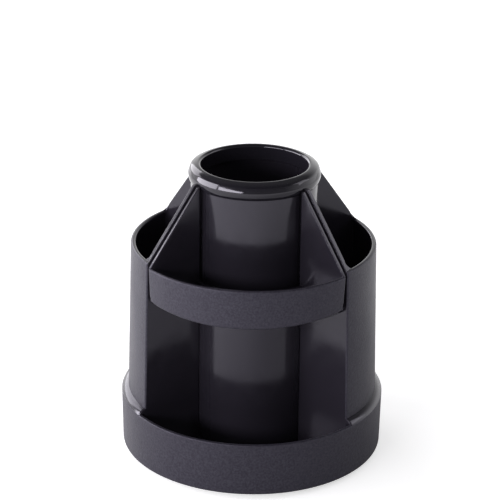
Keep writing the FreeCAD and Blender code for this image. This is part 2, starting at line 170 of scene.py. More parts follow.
def dressed(piece, *finishes, crease=32):
    """Gives the piece its finishes, and smooth shading that keeps edges sharper than the crease."""
    piece.data.materials.clear()
    for finish in finishes:
        piece.data.materials.append(finish)
    piece.data.shade_smooth()
    piece.data.set_sharp_from_angle(angle=math.radians(crease))
    flat = piece.modifiers.new("flat faces stay flat", "WEIGHTED_NORMAL")
    flat.keep_sharp = True
    return piece


def fitted(piece, body, slot, *replaced):
    """Rides the piece on its body and hides the nodes that it stands for. The slot is not used."""
    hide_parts(*replaced)
    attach(piece, body)
    return piece


def new_finish(name, colour, roughness, metal=0.0, specular=0.5, tint=(1, 1, 1)):
    """A material with a principled shader, and the places to add its details."""
    finish = bpy.data.materials.new(name)
    finish.use_nodes = True
    tree = finish.node_tree
    shader = tree.nodes["Principled BSDF"]
    shader.inputs["Base Color"].default_value = (*colour, 1)
    shader.inputs["Roughness"].default_value = roughness
    shader.inputs["Metallic"].default_value = metal
    shader.inputs["Specular IOR Level"].default_value = specular
    shader.inputs["Specular Tint"].default_value = (*tint, 1)
    return finish, tree, shader


def mottle(tree, size, detail=3.0, stretch=(1, 1, 1)):
    """Noise over the object, with blotches of one size in metres, stretched along the axes."""
    place = tree.nodes.new("ShaderNodeTexCoord")
    scale = tree.nodes.new("ShaderNodeMapping")
    scale.inputs["Scale"].default_value = [1 / (size * share) for share in stretch]
    noise = tree.nodes.new("ShaderNodeTexNoise")
    noise.inputs["Scale"].default_value = 1.0
    noise.inputs["Detail"].default_value = detail
    tree.links.new(place.outputs["Object"], scale.inputs["Vector"])
    tree.links.new(scale.outputs["Vector"], noise.inputs["Vector"])
    return noise.outputs["Fac"]


def between(tree, value, low, high, start=0.3, end=0.7):
    """Spreads a value from its usual range onto another one."""
    spread = tree.nodes.new("ShaderNodeMapRange")
    spread.inputs["From Min"].default_value = start
    spread.inputs["From Max"].default_value = end
    spread.inputs["To Min"].default_value = low
    spread.inputs["To Max"].default_value = high
    tree.links.new(value, spread.inputs["Value"])
    return spread.outputs["Result"]


def shade_between(tree, value, dark, light):
    """A colour that runs from dark to light with a value."""
    blend = tree.nodes.new("ShaderNodeMix")
    blend.data_type = "RGBA"
    blend.inputs["A"].default_value = (*dark, 1)
    blend.inputs["B"].default_value = (*light, 1)
    tree.links.new(value, blend.inputs["Factor"])
    return blend.outputs["Result"]


def raised(tree, shader, heights):
    """Chains bumps given as (height output, depth in metres, strength)."""
    last = None
    for height, depth, strength in heights:
        bump = tree.nodes.new("ShaderNodeBump")
        bump.inputs["Distance"].default_value = depth
        bump.inputs["Strength"].default_value = strength
        tree.links.new(height, bump.inputs["Height"])
        if last:
            tree.links.new(last, bump.inputs["Normal"])
        last = bump.outputs["Normal"]
    tree.links.new(last, shader.inputs["Normal"])


def plain_black_plastic():
    """Black plastic as it leaves a plain mould: slightly cloudy, with a fine satin grain."""
    finish, tree, shader = new_finish("plain_black_plastic", (0.018, 0.017, 0.021), 0.45)
    cloud = mottle(tree, 14 * mm)
    shade = shade_between(tree, between(tree, cloud, 0, 1), (0.014, 0.014, 0.017), (0.023, 0.022, 0.026))
    tree.links.new(shade, shader.inputs["Base Color"])
    tree.links.new(between(tree, mottle(tree, 3 * mm), 0.38, 0.52), shader.inputs["Roughness"])
    raised(tree, shader, [(mottle(tree, 0.35 * mm), 0.03 * mm, 0.5)])
    return finish


foot = turned_piece("foot_disc", softened([
    (0, foot_low.z, 0),
    (foot_radius - foot_chamfer, foot_low.z, fine_edge),
    (foot_radius, foot_low.z + foot_chamfer, fine_edge),
    (foot_radius, foot_top, fine_edge),
    *arc_corners(race_radius, race_height, race_groove, race_groove, -race_edge_angle, race_edge_angle - 180),
    (post_radius, foot_top, 0),
    (post_radius, foot_high.z, fine_edge),
    (0, foot_high.z, 0),
]))
pad_places = [on_circle(pad_pitch, pad_first_angle + 360 / pad_count * index) for index in range(pad_count)]
seats = [drill(pad_radius + seat_gap, -overrun, pad_high.z, place) for place in pad_places]
pivot_hole = drill(pivot_screw_radius + running_gap, foot_high.z - pivot_hole_depth, foot_high.z + overrun,
                   Vector())
combined(foot, seats + [pivot_hole], "DIFFERENCE")
dressed(foot, plain_black_plastic())
fitted(foot, "foot", "foot_plastic", "swivel_foot")

# Rubber pads
# Four soft round pads are pressed into the seats under the foot. Each is cut with a rounded edge and two
# ring grooves, so that it grips the desk.

pad_edge = 0.4 * mm
pad_groove_depth = 0.25 * mm
pad_grooves = (1.6 * mm, 3.2 * mm)
pad_groove_width = 0.6 * mm
pad_steps = 64


def soft_rubber():
    """Dull black rubber with a dry, dusty bloom."""
    finish, tree, shader = new_finish("soft_rubber", (0.022, 0.022, 0.023), 0.85, specular=0.3)
    bloom = between(tree, mottle(tree, 2.5 * mm), 0, 1)
    shade = shade_between(tree, bloom, (0.016, 0.016, 0.017), (0.034, 0.034, 0.035))
    tree.links.new(shade, shader.inputs["Base Color"])
    raised(tree, shader, [(mottle(tree, 0.2 * mm), 0.02 * mm, 0.5)])
    return finish


pad_section = [(0, pad_low.z, 0)]
for ring in pad_grooves:
    half = pad_groove_width / 2
    pad_section += [(ring - half, pad_low.z, 0), (ring, pad_low.z + pad_groove_depth, 0),
                    (ring + half, pad_low.z, 0)]
pad_section += [(pad_radius, pad_low.z, pad_edge), (pad_radius, pad_high.z, fine_edge), (0, pad_high.z, 0)]
pads = turned_piece("rubber_pads", softened(pad_section), pad_steps)
one_pad = pads.data
together = bmesh.new()
for place in pad_places:
    shifted = one_pad.copy()
    shifted.transform(Matrix.Translation(place))
    together.from_mesh(shifted)
together.to_mesh(one_pad)
together.free()
dressed(pads, soft_rubber())
fitted(pads, "foot", "pad_rubber", "foot_pads")

# Ball bearing
# Eight steel balls roll between the foot and the dish. A flat ring of natural plastic, with a round
# pocket for each ball, keeps them apart.


def bright_steel():
    """Polished steel, as bearing balls are, with faint rolling marks."""
    finish, tree, shader = new_finish("bright_steel", (0.62, 0.62, 0.63), 0.12, metal=1.0)
    tree.links.new(between(tree, mottle(tree, 0.6 * mm), 0.07, 0.2), shader.inputs["Roughness"])
    raised(tree, shader, [(mottle(tree, 0.15 * mm), 0.002 * mm, 0.4)])
    return finish


def natural_plastic():
    """Milky uncoloured plastic that lets a little light in."""
    finish, tree, shader = new_finish("natural_plastic", (0.68, 0.67, 0.62), 0.35)
    cloud = between(tree, mottle(tree, 6 * mm), 0, 1)
    shade = shade_between(tree, cloud, (0.62, 0.61, 0.56), (0.74, 0.73, 0.68))
    tree.links.new(shade, shader.inputs["Base Color"])
    shader.inputs["Subsurface Weight"].default_value = 0.15
    shader.inputs["Subsurface Radius"].default_value = (0.8 * mm, 0.7 * mm, 0.5 * mm)
    shader.inputs["Subsurface Scale"].default_value = 1.0
    raised(tree, shader, [(mottle(tree, 0.4 * mm), 0.015 * mm, 0.4)])
    return finish


def redressed(node, finish, crease=30):
    """Gives a piece that keeps its built shape its finish and smooth round faces."""
    piece = nodes[node]
    piece.data.materials.clear()
    piece.data.materials.append(finish)
    piece.data.shade_smooth()
    piece.data.set_sharp_from_angle(angle=math.radians(crease))
    return piece


redressed("bearing_balls", bright_steel())
redressed("ball_cage", natural_plastic())

# Base dish
# The wide dish is one moulding: a floor with the upper ball race in its underside, inside a low ring with
# a rounded lip. The ring's outside has a fine grain, and its inside and floor are polished.

dish_low, dish_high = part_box("base_dish")
cup_low, cup_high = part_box("centre_cup")
bin_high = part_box("right_bin")[1]
lip_radius = dish_high.x
ring_wall = 1.8 * mm
ring_draft = 0.4 * mm
ring_foot_round = 1.5 * mm
lip_round = 0.5 * mm
dish_top = cup_low.z
dish_under = 6.0 * mm
lip_top = dish_high.z
hub_radius = post_radius + running_gap
bin_screw_pitch = 49.0 * mm
bin_screw_angle = 30
bin_screw_place = on_circle(bin_screw_pitch, bin_screw_angle)
cup_screw_pitch = 21.0 * mm
cup_screw_count = 3
cup_screw_first_angle = 90
screw_radius = 1.5 * mm
screw_hole_gap = 0.2 * mm
inner_round = 1.2 * mm
ring_grain_depth = 1.6 * mm
large_round_steps = 256


def grained_charcoal():
    """Charcoal plastic from a spark-eroded mould: a fine even grain with a satin sheen."""
    finish, tree, shader = new_finish("grained_charcoal", (0.030, 0.028, 0.037), 0.42, specular=0.38,
                                      tint=(0.86, 0.83, 1.0))
    speckle = between(tree, mottle(tree, 0.9 * mm, 2), 0, 1)
    shade = shade_between(tree, speckle, (0.017, 0.015, 0.023), (0.037, 0.035, 0.046))
    tree.links.new(shade, shader.inputs["Base Color"])
    tree.links.new(between(tree, mottle(tree, 18 * mm), 0.38, 0.46), shader.inputs["Roughness"])
    grain = mottle(tree, 0.40 * mm, 2)
    sink = mottle(tree, 12 * mm, 2)
    ripple = mottle(tree, 1.1 * mm, 3)
    raised(tree, shader, [(sink, 0.06 * mm, 0.3), (ripple, 0.10 * mm, 1.0), (grain, 0.06 * mm, 0.8)])
    return finish


def polished_charcoal():
    """The same plastic from a polished mould: smooth, with faint flow and draw marks."""
    finish, tree, shader = new_finish("polished_charcoal", (0.018, 0.016, 0.022), 0.16,
                                      tint=(0.90, 0.88, 1.0))
    tree.links.new(between(tree, mottle(tree, 7 * mm, 5), 0.10, 0.22), shader.inputs["Roughness"])
    draw = mottle(tree, 1.4 * mm, 3, (1, 1, 30))
    sink = mottle(tree, 9 * mm, 2)
    raised(tree, shader, [(sink, 0.05 * mm, 0.35), (draw, 0.004 * mm, 0.5)])
    return finish


def by_side(piece, outside):
    """Puts the faces that the test picks into the second finish."""
    for face in piece.data.polygons:
        face.material_index = 1 if outside(face.center, face.normal) else 0


def faces_out(at, look, least=0.2):
    """True for a face that looks away from the axis by at least that share."""
    return look.xy.dot(at.xy) > least * at.xy.length


def ring_outside(at, look):
    """True for the grained outside of the ring and the round of its lip."""
    return at.xy.length > lip_radius - ring_grain_depth and faces_out(at, look, -0.2)


grain_outside = grained_charcoal()
polish = polished_charcoal()
ring_foot = lip_radius - ring_draft
dish = turned_piece("dish_with_ring", softened([
    (ring_foot - ring_wall, dish_low.z, fine_edge),
    (ring_foot, dish_low.z, ring_foot_round),
    (lip_radius, lip_top, lip_round),
    (lip_radius - ring_wall, lip_top, lip_round),
    (ring_foot - ring_wall, dish_top, inner_round),
    (hub_radius, dish_top, fine_edge),
    (hub_radius, dish_under, fine_edge),
    *arc_corners(race_radius, race_height, race_groove, race_groove, 180 - race_edge_angle, race_edge_angle),
    (ring_foot - ring_wall, dish_under, inner_round),
]), large_round_steps)
bin_screw_places = [Vector((x * bin_screw_place.x, y * bin_screw_place.y, 0))
                    for x in (1, -1) for y in (1, -1)]
cup_screw_places = [on_circle(cup_screw_pitch, cup_screw_first_angle + 360 / cup_screw_count * index)
                    for index in range(cup_screw_count)]
holes = [drill(screw_radius + screw_hole_gap, dish_under - overrun, dish_top + overrun, place)
         for place in bin_screw_places + cup_screw_places]
combined(dish, holes, "DIFFERENCE")
dressed(dish, polish, grain_outside)
by_side(dish, ring_outside)
fitted(dish, "organizer", "charcoal_matte", "base_dish")

# Side bins
# Each bin is one moulding: a tall outer wall with a shoulder that sits on the ring's lip, two flat fins
# that climb to the collar, with ledges for the shelves, and a floor with bosses for the screws. The wall is
# grained outside, above its smooth shoulder, and the rest is polished.

sector = math.radians(37.5)
fin_thickness = 2.2 * mm
wall_thickness = 2.4 * mm
bin_reach = 28.3 * mm
rim_top = 99.0 * mm
rim_radius = 54.6 * mm
wall_foot_radius = 56.3 * mm
shoulder_top = 29.3 * mm
shoulder_bow = 0.5 * mm
skirt_radius = 56.8 * mm
fin_top = bin_high.z
fin_cap_radius = 30.51 * mm
top_round = 1.0 * mm
fin_round_share = 0.4
fin_slope_lean = 1.5
front_round = 0.8 * mm
inside_round = 1.4 * mm
cup_end_round = 0.35 * mm
least_round = 0.1 * mm
least_flat = 0.02 * mm
shoulder_lift = 0.06 * mm
fin_foot = 97.8 * mm
fin_slope = (fin_top - fin_foot) / (rim_radius - fin_cap_radius)
shoulder_steps = 6
rim_steps = 5
corner_steps = 6
wall_row_shares = (0.01, 0.03, 0.25, 0.5, 0.75, 0.98, 1)
fin_column_shares = (0, 0.03, 0.2, 0.4, 0.6, 0.8, 1)
last_fin_column = 50.0 * mm


def mix(low, high, share):
    """The value that lies at a share of the way from low to high."""
    return low + (high - low) * share


def fin_height(radius):
    """Top of a fin at one distance from the axis: level at the collar, then sloping to the rim."""
    return min(fin_top, fin_foot + fin_slope * (rim_radius - radius))


def wall_levels():
    """Rows of the outer wall as (height, outside radius, inside radius, inset of both faces)."""
    inner_foot = wall_foot_radius - wall_thickness
    inner_rim = rim_radius - wall_thickness
    rows = [(dish_top, skirt_radius, inner_foot, 0), (lip_top - shoulder_lift, skirt_radius, inner_foot, 0)]
    run = Vector((wall_foot_radius - lip_radius, shoulder_top - lip_top))
    side = Vector((run.y, -run.x)).normalized()
    for step in range(shoulder_steps + 1):
        share = step / shoulder_steps
        bow = side * (shoulder_bow * 4 * share * (1 - share))
        rows.append((lip_top + run.y * share + bow.y, lip_radius + run.x * share + bow.x, inner_foot, 0))
    last = rim_top - top_round
    for share in wall_row_shares:
        height = shoulder_top + (last - shoulder_top) * share
        lean = (height - shoulder_top) / (last - shoulder_top)
        rows.append((height, wall_foot_radius + (rim_radius - wall_foot_radius) * lean,
                     inner_foot + (inner_rim - inner_foot) * lean, 0))
    for step in range(1, rim_steps + 1):
        angle = math.radians(90 * step / rim_steps)
        inset = top_round * (1 - math.cos(angle))
        rows.append((last + top_round * math.sin(angle), rim_radius, inner_rim, inset))
    return rows


def fillet(flat, bend, rounding, within):
    """Points (along, off) of a rounding between a flat face and a round one about the axis.

    flat is how far the flat face is off the sector's side. The rounding lies within the bend or outside it,
    and the points run from the flat face to the round one.
    """
    off = flat + rounding
    radius = bend - rounding if within else bend + rounding
    along = math.sqrt(radius ** 2 - off ** 2)
    turn_to = math.atan2(off, along)
    start = -math.pi / 2
    end = turn_to if within else turn_to - math.pi
    points = []
    for step in range(corner_steps + 1):
        angle = start + (end - start) * step / corner_steps
        points.append((along + rounding * math.cos(angle), off + rounding * math.sin(angle)))
    return points


fin_columns = [fin_cap_radius + (last_fin_column - fin_cap_radius) * share for share in fin_column_shares]


def half_plan(outside, inside, inset):
    """Matching outer and inner points (along, off) from the cup's end of one fin to the wall."""
    flat = inset * fin_round_share
    reach = bin_reach + flat
    middle = (math.sqrt(reach ** 2 - (fin_thickness / 2) ** 2), fin_thickness / 2)
    end_round = min(cup_end_round, fin_thickness / 2 - flat - least_flat)
    outer_end = fillet(flat, reach, end_round, False)[::-1]
    inner_end = [(along, fin_thickness - off) for along, off in outer_end]
    outer = [middle] + outer_end + [(column, flat) for column in fin_columns]
    inner = [middle] + inner_end + [(column, fin_thickness - flat) for column in fin_columns]
    outer += fillet(flat, outside - inset, max(front_round - inset, least_round), True)
    inner += fillet(fin_thickness - flat, inside + inset, inside_round + inset, True)
    return outer, inner


def bin_wall(name, arc_steps=56):
    """Outer wall and both fins as one closed strip, drawn for the bin on the right."""
    rows = wall_levels()
    rim_row = (rim_top, rim_radius, rim_radius - wall_thickness, 0)
    plain_outer, plain_inner = half_plan(*rim_row[1:])
    corner_start = len(plain_outer) - 1 - corner_steps

    def tops(points):
        """Height of the top edge over each point of half a plan."""
        heights = []
        for index, (along, off) in enumerate(points):
            radius = math.hypot(along, off)
            height = max(rim_top, fin_height(radius))
            if index > corner_start:
                share = (index - corner_start) / (len(points) - 1 - corner_start)
                height += (rim_top - height) * share
            heights.append(height)
        return heights

    outer_tops = tops(plain_outer)
    inner_tops = tops(plain_inner)
    work = bmesh.new()

    def ring(points, heights, bend, row_height):
        """One row of vertices, from the end of one fin round the wall to the end of the other."""
        half = []
        for index, ((along, off), top) in enumerate(zip(points, heights)):
            rise = (top - dish_top) / (rim_top - dish_top)
            height = dish_top + (row_height - dish_top) * rise
            if row_height > rim_top - top_round:
                lean = fin_slope_lean if top < fin_top else 1
                share = max(0, index - corner_start) / (len(points) - 1 - corner_start)
                height = top - (rim_top - row_height) * mix(fin_round_share * lean, 1, share)
            half.append((along, off, height))
        lower = []
        upper = []
        for along, off, height in half:
            angle = math.atan2(off, along)
            distance = math.hypot(along, off)
            lower.append((distance, -sector + angle, height))
            upper.append((distance, sector - angle, height))
        last = lower[-1][1]
        arc = [(bend, last - 2 * last * step / arc_steps, row_height) for step in range(1, arc_steps)]
        return [work.verts.new((distance * math.cos(angle), distance * math.sin(angle), height))
                for distance, angle, height in lower + arc + upper[::-1]]

    outer_rings = []
    inner_rings = []
    for height, outside, inside, inset in rows:
        outer, inner = half_plan(outside, inside, inset)
        outer_rings.append(ring(outer, outer_tops, outside - inset, height))
        inner_rings.append(ring(inner, inner_tops, inside + inset, height))

    def skin(rings):
        """Faces between each row of vertices and the next."""
        for low, high in zip(rings, rings[1:]):
            for index in range(len(low) - 1):
                work.faces.new((low[index], low[index + 1], high[index + 1], high[index]))

    skin(outer_rings)
    skin(inner_rings)
    for outer, inner in ((outer_rings[0], inner_rings[0]), (outer_rings[-1], inner_rings[-1])):
        for index in range(len(outer) - 1):
            work.faces.new((outer[index], outer[index + 1], inner[index + 1], inner[index]))
    return finished_mesh(name, work)


def rounding_steps(thickness, rounding, steps=3):
    """Pairs (inset, depth) that lead round the edge of a plate from its front to its back."""
    front = []
    for step in range(steps + 1):
        angle = math.pi / 2 * step / steps
        front.append((rounding * (1 - math.sin(angle)), rounding * (1 - math.cos(angle))))
    return front + [(inset, thickness - depth) for inset, depth in reversed(front)]


def plate(name, place, thickness, rounding, across, along):
    """A closed plate with rounded edges. place(u, v, inset, depth) gives a point for shares u and v.

    across and along are how many faces it has in the ways of u and v.
    """
    work = bmesh.new()
    layers = rounding_steps(thickness, rounding)

    def grid(layer):
        """The vertices of one whole face, in rows."""
        return [[work.verts.new(place(i / across, j / along, *layer)) for j in range(along + 1)]
                for i in range(across + 1)]

    def border(points):
        """The outermost vertices of a grid, in order round it."""
        ring = [row[0] for row in points] + points[-1][1:]
        return ring + [row[-1] for row in reversed(points[:-1])] + points[0][-2:0:-1]

    rim = ([(i / across, 0) for i in range(across + 1)]
           + [(1, j / along) for j in range(1, along + 1)]
           + [(i / across, 1) for i in range(across - 1, -1, -1)]
           + [(0, j / along) for j in range(along - 1, 0, -1)])
    front = grid(layers[0])
    back = grid(layers[-1])
    for points in (front, back):
        for i in range(across):
            for j in range(along):
                work.faces.new((points[i][j], points[i + 1][j], points[i + 1][j + 1], points[i][j + 1]))
    rings = [border(front)]
    for layer in layers[1:-1]:
        rings.append([work.verts.new(place(u, v, *layer)) for u, v in rim])
    rings.append(border(back))
    for low, high in zip(rings, rings[1:]):
        for index in range(len(low)):
            after = (index + 1) % len(low)
            work.faces.new((low[index], low[after], high[after], high[index]))
    return finished_mesh(name, work)


bin_floor_top = 10.0 * mm
floor_bite = 0.75 * mm
floor_edge = 0.2 * mm
boss_radius = 3.0 * mm
boss_foot_gap = 0.3 * mm
boss_edge = 0.5 * mm
boss_top = 18.0 * mm
boss_hole_top = 15.7 * mm
wall_grain_depth = 1.1 * mm
shelf_low, shelf_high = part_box("front_shelf")
ledge_height = 1.5 * mm
ledge_width = 2.5 * mm
ledge_edge = 0.3 * mm
fin_ledge_start = 30.7 * mm
fin_ledge_inset = 2.4 * mm
fin_ledge_end = rim_radius - wall_thickness - fin_ledge_inset


def bin_floor_place(u, v, inset, depth):
    """A point of the bin's floor: u runs from fin to fin, and v outwards from the cup."""
    radius = mix(bin_reach + inset, wall_foot_radius - wall_thickness + floor_bite - inset, v)
    reach = sector - math.asin((floor_bite + inset) / radius)
    angle = mix(-reach, reach, u)
    return radius * math.cos(angle), radius * math.sin(angle), bin_floor_top - depth


def fin_ledge(side):
    """The straight ledge on the face of one fin that carries an end of a shelf."""
    def place(u, v, inset, depth):
        along = mix(fin_ledge_start + inset, fin_ledge_end - inset, u)
        off = mix(inset - ledge_width, fin_thickness / 2 - inset, v)
        angle = math.atan2(off, along) - sector
        distance = math.hypot(along, off)
        return distance * math.cos(angle), side * distance * math.sin(angle), shelf_low.z - depth
    return plate("ledge", place, ledge_height, ledge_edge, across=2, along=2)


def side_bin(name):
    """The whole moulding of the right bin."""
    shell = bin_wall(name)
    floor = plate("floor", bin_floor_place, bin_floor_top - dish_top, floor_edge, across=40, along=8)
    bosses = []
    holes = []
    for side in (1, -1):
        place = Vector((bin_screw_place.x, side * bin_screw_place.y, 0))
        boss = turned_piece("boss", softened([
            (0, dish_top + boss_foot_gap, 0),
            (boss_radius, dish_top + boss_foot_gap, 0),
            (boss_radius, boss_top, boss_edge),
            (0, boss_top, 0),
        ]), small_round_steps)
        boss.data.transform(Matrix.Translation(place))
        bosses.append(boss)
        holes.append(drill(screw_radius + running_gap, dish_top - overrun, boss_hole_top, place))
    combined(shell, [floor, fin_ledge(1), fin_ledge(-1)] + bosses, "UNION")
    return combined(shell, holes, "DIFFERENCE")


def outer_wall(at, look):
    """True for the grained outside of a bin's wall, above its smooth shoulder, and the round of its rim."""
    return at.xy.length > rim_radius - wall_grain_depth and faces_out(at, look) and at.z > shoulder_top


def half_turned(name, piece):
    """A copy of a piece, half a turn further about the axis."""
    twin = bpy.data.objects.new(name, piece.data.copy())
    twin.data.transform(Matrix.Rotation(math.pi, 4, "Z"))
    bpy.context.scene.collection.objects.link(twin)
    return twin


right_bin = side_bin("right_side_bin")
left_bin = half_turned("left_side_bin", right_bin)
for piece, node in ((right_bin, "right_bin"), (left_bin, "left_bin")):
    dressed(piece, polish, grain_outside)
    by_side(piece, outer_wall)
    fitted(piece, "organizer", "charcoal_matte", node)

# Screws and washer
# Pan-head screws hold the bins and the cup from under the dish, and one holds the dish on its foot with a
# plain washer. They are bright zinc-plated steel.


def plated_steel():
    """Zinc-plated steel: bluish and bright, with fine scratches."""
    finish, tree, shader = new_finish("plated_steel", (0.56, 0.57, 0.60), 0.28, metal=1.0)
    tree.links.new(between(tree, mottle(tree, 0.5 * mm, 4), 0.2, 0.42), shader.inputs["Roughness"])
    hue = between(tree, mottle(tree, 1.5 * mm), 0, 1)
    shade = shade_between(tree, hue, (0.52, 0.53, 0.57), (0.62, 0.62, 0.63))
    tree.links.new(shade, shader.inputs["Base Color"])
    raised(tree, shader, [(mottle(tree, 0.2 * mm, 3, (1, 6, 1)), 0.004 * mm, 0.5)])
    return finish


plating = plated_steel()
for node in ("bin_screws", "cup_screws", "pivot_screw", "pivot_washer"):
    redressed(node, plating)

# Centre cup
# The tall round cup is a polished charcoal moulding. Its wall and three screw bosses under its floor stand
# on the dish, and two curved ledges on its outside carry the shelves.

cup_foot_radius = 28.2 * mm
cup_rim_radius = 28.0 * mm
cup_wall = 2.0 * mm
cup_rim = cup_high.z
cup_floor_low = 15.0 * mm
cup_floor_top = 17.0 * mm
shelf_sector = math.radians(52.5)


def cup_outside(height):
    """Outside radius of the cup at one height."""
    return mix(cup_foot_radius, cup_rim_radius, (height - dish_top) / (cup_rim - dish_top))


def shelf_ledge(turn):
    """The curved ledge under the back edge of one shelf."""
    def place(u, v, inset, depth):
        radius = mix(cup_foot_radius - cup_wall / 2 + inset, cup_foot_radius + ledge_width - inset, v)
        reach = shelf_sector - math.asin((ledge_width + seat_gap + inset) / radius)
        angle = mix(-reach, reach, u) + turn
        return radius * math.sin(angle), -radius * math.cos(angle), shelf_low.z - depth
    return plate("ledge", place, ledge_height, ledge_edge, across=48, along=3)


cup = turned_piece("tall_cup", softened([
    (0, cup_floor_low, 0),
    (cup_foot_radius - cup_wall, cup_floor_low, fine_edge),
    (cup_foot_radius - cup_wall, dish_top, fine_edge),
    (cup_foot_radius, dish_top, fine_edge),
    (cup_rim_radius, cup_rim, fine_edge),
    (cup_rim_radius - cup_wall, cup_rim, fine_edge),
    (cup_outside(cup_floor_top) - cup_wall, cup_floor_top, inner_round),
    (0, cup_floor_top, 0),
]), large_round_steps)
cup_bosses = [drill(boss_radius, dish_top, cup_floor_low + overrun, place) for place in cup_screw_places]
cup_holes = [drill(screw_radius + running_gap, dish_top - overrun, cup_floor_low, place)
             for place in cup_screw_places]
combined(cup, cup_bosses + [shelf_ledge(0), shelf_ledge(math.pi)], "UNION")
combined(cup, cup_holes, "DIFFERENCE")
dressed(cup, polish)
fitted(cup, "organizer", "charcoal_gloss", "centre_cup")

# Collar
# The thick glossy ring is pressed over the rim of the cup and grips it from both sides. Its round outside
# stands out over the cup, and its mouth guides pens into the cup.

collar_low, collar_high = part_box("cup_collar")
collar_top = collar_high.z
collar_height = 7.3 * mm
collar_base = collar_top - collar_height
collar_radius = 29.2 * mm
collar_flank_height = 3.4 * mm
collar_widest = collar_base + collar_flank_height
collar_shoulder_radius = 28.15 * mm
collar_crown_height = 1.25 * mm
collar_side_top = (collar_shoulder_radius, collar_top - collar_crown_height)
flank_bow = 0.22 * mm
side_bow = 0.05 * mm
crown_bow = 0.20 * mm
collar_grip = 0.05 * mm
collar_foot_lip = 0.45 * mm
mouth_radius = 23.5 * mm
mouth_round = 1.3 * mm


def collar_gloss():
    """Glossy black plastic with a deep, almost even polish and a few smudges."""
    finish, tree, shader = new_finish("collar_gloss", (0.012, 0.011, 0.015), 0.07, tint=(0.94, 0.92, 1.0))
    tree.links.new(between(tree, mottle(tree, 5 * mm, 4), 0.05, 0.12), shader.inputs["Roughness"])
    raised(tree, shader, [(mottle(tree, 7 * mm, 2), 0.03 * mm, 0.3)])
    return finish


def bowed(start, end, rise, steps=10):
    """Corners along a shallow arc that stands off its chord to the right of the way."""
    run = Vector(end) - Vector(start)
    side = Vector((run.y, -run.x)).normalized()
    corners = []
    for step in range(steps + 1):
        share = step / steps
        corners.append((*(Vector(start) + run * share + side * rise * 4 * share * (1 - share)), 0))
    return corners


grip_out = cup_rim_radius + collar_grip
grip_in = cup_rim_radius - cup_wall - collar_grip
collar_lip = grip_out + collar_foot_lip
crown_radius = mouth_radius + mouth_round
collar = turned_piece("cup_collar_ring", softened([
    (grip_out, collar_base, 0),
    *bowed((collar_lip, collar_base), (collar_radius, collar_widest), flank_bow),
    *bowed((collar_radius, collar_widest), collar_side_top, side_bow)[1:-1],
    *bowed(collar_side_top, (crown_radius, collar_top), crown_bow)[1:],
    *arc_corners(crown_radius, collar_top - mouth_round, mouth_round, mouth_round, 90, 180, 6)[1:],
    (mouth_radius, collar_low.z, fine_edge),
    (grip_in, collar_low.z, fine_edge),
    (grip_in, cup_rim + seat_gap, 0),
    (grip_out, cup_rim + seat_gap, 0),
]), large_round_steps)
dressed(collar, collar_gloss(), crease=50)
fitted(collar, "organizer", "collar_gloss", "cup_collar")

# Shelves
# A flat shelf lies in the front and in the back, on the ledges of the cup and of the fins. Two closed
# slots in each guide the hooks under the drawer and stop it at the end of its travel.

shelf_thickness = shelf_high.z - shelf_low.z
shelf_reach = 52.25 * mm
shelf_edge = 0.3 * mm
hook_spacing = 18.0 * mm
slot_half_width = 1.2 * mm
slot_back = 30.14 * mm
slot_front = 49.85 * mm


def shelf_place(u, v, inset, depth):
    """A point of the front shelf: u runs from fin to fin, and v outwards from the cup."""
    radius = mix(cup_outside(shelf_low.z) + seat_gap + inset, shelf_reach - inset, v)
    reach = shelf_sector - math.asin((seat_gap + inset) / radius)
    angle = mix(-reach, reach, u)
    return radius * math.sin(angle), -radius * math.cos(angle), shelf_high.z - depth


def slot_cutter(side):
    """A square-ended cutter for one slot."""
    def place(u, v, inset, depth):
        x = side * hook_spacing / 2 + mix(-slot_half_width, slot_half_width, u)
        return x, -mix(slot_back, slot_front, v), shelf_high.z + overrun - depth
    return plate("slot", place, shelf_thickness + 2 * overrun, 0, across=1, along=1)


front_shelf = plate("front_drawer_shelf", shelf_place, shelf_thickness, shelf_edge, across=64, along=8)
combined(front_shelf, [slot_cutter(1), slot_cutter(-1)], "DIFFERENCE")
back_shelf = half_turned("back_drawer_shelf", front_shelf)
for piece, node in ((front_shelf, "front_shelf"), (back_shelf, "back_shelf")):
    dressed(piece, polish)
    fitted(piece, "organizer", "charcoal_matte", node)

# Drawers
# Each drawer is one moulding: a tray with side walls that follow the fins, a low sill by the cup, and a
# curved band in front, grained like the bins. Two hooks under it run in the shelf's slots.

band_low = 79.7 * mm
band_top = 97.1 * mm
band_foot_slope = 0.127
band_thickness = 2.0 * mm
band_corner = 4.0 * mm
band_inner_corner = 2.0 * mm
band_gap = 1.0 * mm
band_foot_gap = 2.2 * mm
band_edge = 0.7 * mm
drawer_base = 81.7 * mm
drawer_floor_top = 83.3 * mm
drawer_side_gap = 1.1 * mm
drawer_wall = 1.6 * mm
drawer_drop = 0.5 * mm
drawer_inner = 29.6 * mm
drawer_edge = 0.35 * mm
side_tip_gap = 0.15 * mm
side_foot_gap = 0.03 * mm
sill_foot_gap = 0.06 * mm
sill_top = 86.3 * mm
hook_back = 30.44 * mm
hook_stem_width = 1.8 * mm
hook_length = 3.0 * mm
hook_foot_width = 3.6 * mm
hook_foot_height = 1.3 * mm
hook_gap = 0.3 * mm
hook_lap = 0.4 * mm
hook_root_depth = 0.6 * mm
hook_edge = 0.2 * mm
band_grain_depth = 0.9 * mm
embedded = drawer_side_gap + drawer_wall / 2


def wall_outside(height):
    """Outside radius that the walls and the bands share at one height."""
    return mix(wall_foot_radius, rim_radius, (height - shoulder_top) / (rim_top - top_round - shoulder_top))


